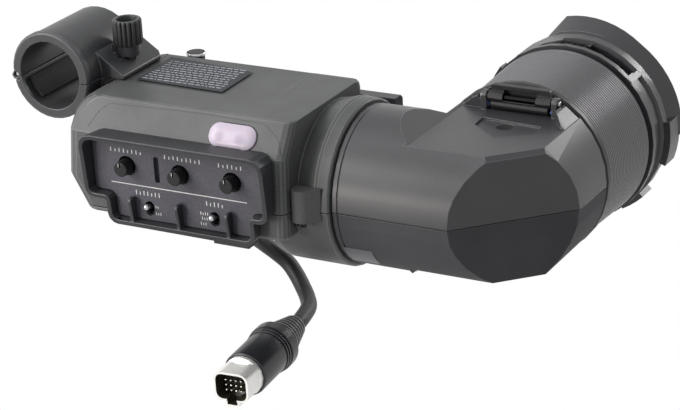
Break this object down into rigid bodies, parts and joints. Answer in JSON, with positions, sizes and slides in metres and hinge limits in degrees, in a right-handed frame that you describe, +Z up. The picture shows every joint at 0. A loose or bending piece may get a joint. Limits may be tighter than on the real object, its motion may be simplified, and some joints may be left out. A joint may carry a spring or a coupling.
{
  "type": "camera viewfinder",
  "caption": "Shoulder camera's electronic viewfinder: boxy tube housing with control panel, microphone holder and cable, swivelling mirror elbow and flip-up ribbed eyepiece.",
  "frame": {"origin": "centre of the slide rail's rear face, where the viewfinder is held on a camera", "axes": "+X runs right along the picture tube to the elbow, +Y points back out of the rail and along the eyepiece towards the eye, +Z is up"},
  "size_m": [0.234, 0.161, 0.1278],
  "materials": {
    "moulded_housing": "fine-grained",
    "elbow_moulding": "fine-grained",
    "guard_moulding": "matt",
    "panel": "satin",
    "black_plastic": "satin",
    "rubber": "matt",
    "lamp_window": "glossy, milky",
    "lamp_glass": "clear",
    "circuit_board": "satin",
    "tube_glass": "polished",
    "copper_winding": "enamelled wire",
    "eye_glass": "polished",
    "mirror": "polished",
    "steel": "brushed",
    "anodised_rail": "anodised",
    "plug_shell": "nickel-plated",
    "brass": "plated"
  },
  "bodies": {
    "housing": {"cable": "rubber", "cable_gland": "rubber", "contact_pins": "brass", "control_guard": "guard_moulding", "control_panel": "panel", "deflection_yoke": "copper_winding", "display_switch": "black_plastic", "holder_base": "moulded_housing", "holder_pad_1": "rubber", "holder_pad_2": "rubber", "holder_pin": "steel", "housing_lower": "moulded_housing", "housing_upper": "moulded_housing", "latch_block": "moulded_housing", "latch_screw_1": "steel", "latch_screw_2": "steel", "main_board": "circuit_board", "picture_tube": "tube_glass", "plug_body": "black_plastic", "plug_insert": "black_plastic", "plug_shell": "plug_shell", "potentiometer_1": "black_plastic", "potentiometer_2": "black_plastic", "potentiometer_3": "black_plastic", "rail_screw_1": "steel", "rail_screw_2": "steel", "slide_rail": "anodised_rail", "strain_relief": "rubber", "tally_board": "circuit_board", "tally_lamp_left": "lamp_glass", "tally_lamp_right": "lamp_glass", "tally_switch": "black_plastic", "tally_window": "lamp_window", "tube_ring": "black_plastic", "tube_socket": "black_plastic"},
    "left_knob": {"knob_1": "black_plastic"},
    "middle_knob": {"knob_2": "black_plastic"},
    "right_knob": {"knob_3": "black_plastic"},
    "display_toggle": {"display_lever": "steel"},
    "tally_toggle": {"tally_lever": "steel"},
    "stop": {"stop_knob": "black_plastic"},
    "lid": {"holder_lid": "moulded_housing", "holder_pad_3": "rubber"},
    "screw": {"thumbscrew": "black_plastic"},
    "elbow": {"elbow_lower": "elbow_moulding", "elbow_upper": "elbow_moulding", "swivel_ring": "steel", "mirror": "mirror", "mirror_carrier": "black_plastic", "hinge_pin": "steel"},
    "eyepiece": {"hinge_frame": "black_plastic", "eyepiece_flange": "black_plastic", "eyepiece_grip": "elbow_moulding", "eyepiece_head": "elbow_moulding", "eyecup_ring": "steel"},
    "focus": {"focus_ring": "black_plastic"},
    "lens_group": {"lens_cell": "black_plastic", "eye_lens": "eye_glass", "field_lens": "eye_glass", "lens_retainer": "black_plastic"}
  },
  "joints": [
    {"name": "left_knob_turn", "type": "hinge", "parent": "housing", "child": "left_knob", "pos_m": [-0.03155, -0.0775, -0.00618], "axis": [0, -1, 0], "range_deg": [-140, 140]},
    {"name": "middle_knob_turn", "type": "hinge", "parent": "housing", "child": "middle_knob", "pos_m": [-0.0079, -0.0775, -0.00653], "axis": [0, -1, 0], "range_deg": [-140, 140]},
    {"name": "right_knob_turn", "type": "hinge", "parent": "housing", "child": "right_knob", "pos_m": [0.01475, -0.0775, -0.00623], "axis": [0, -1, 0], "range_deg": [-140, 140]},
    {"name": "display_lever_tilt", "type": "hinge", "parent": "housing", "child": "display_toggle", "pos_m": [-0.0228, -0.0686, -0.02238], "axis": [1, 0, 0], "range_deg": [0, 24]},
    {"name": "tally_lever_tilt", "type": "hinge", "parent": "housing", "child": "tally_toggle", "pos_m": [0.006, -0.0686, -0.02238], "axis": [1, 0, 0], "range_deg": [0, 24]},
    {"name": "stop_knob_turn", "type": "hinge", "parent": "housing", "child": "stop", "pos_m": [-0.04275, -0.00245, 0.00807], "axis": [0, 0, 1], "range_deg": [-180, 180]},
    {"name": "holder_lid_swing", "type": "hinge", "parent": "housing", "child": "lid", "pos_m": [-0.0947, -0.04275, 0.01578], "axis": [0, -1, 0], "range_deg": [0, 105]},
    {"name": "thumbscrew_turn", "type": "hinge", "parent": "lid", "child": "screw", "pos_m": [-0.05605, -0.02945, 0.02112], "axis": [0, 0, 1], "range_deg": [-180, 180]},
    {"name": "elbow_turn", "type": "hinge", "parent": "housing", "child": "elbow", "pos_m": [0.09785, -0.0304, -0.01708], "axis": [1, 0, 0], "range_deg": [-30, 120]},
    {"name": "eyepiece_flip", "type": "hinge", "parent": "elbow", "child": "eyepiece", "pos_m": [0.09785, -0.0015, 0.01258], "axis": [1, 0, 0], "range_deg": [0, 95]},
    {"name": "focus_turn", "type": "hinge", "parent": "eyepiece", "child": "focus", "pos_m": [0.09785, 0.04963, -0.01708], "axis": [0, -1, 0], "range_deg": [-29, 38]},
    {"name": "lens_slide", "type": "slide", "parent": "eyepiece", "child": "lens_group", "axis": [0, 1, 0], "range_m": [-0.00227, 0.00298]}
  ],
  "couplings": [
    {"joint": "focus_turn", "follows": "lens_slide", "rad_per_m": 222.22}
  ]
}
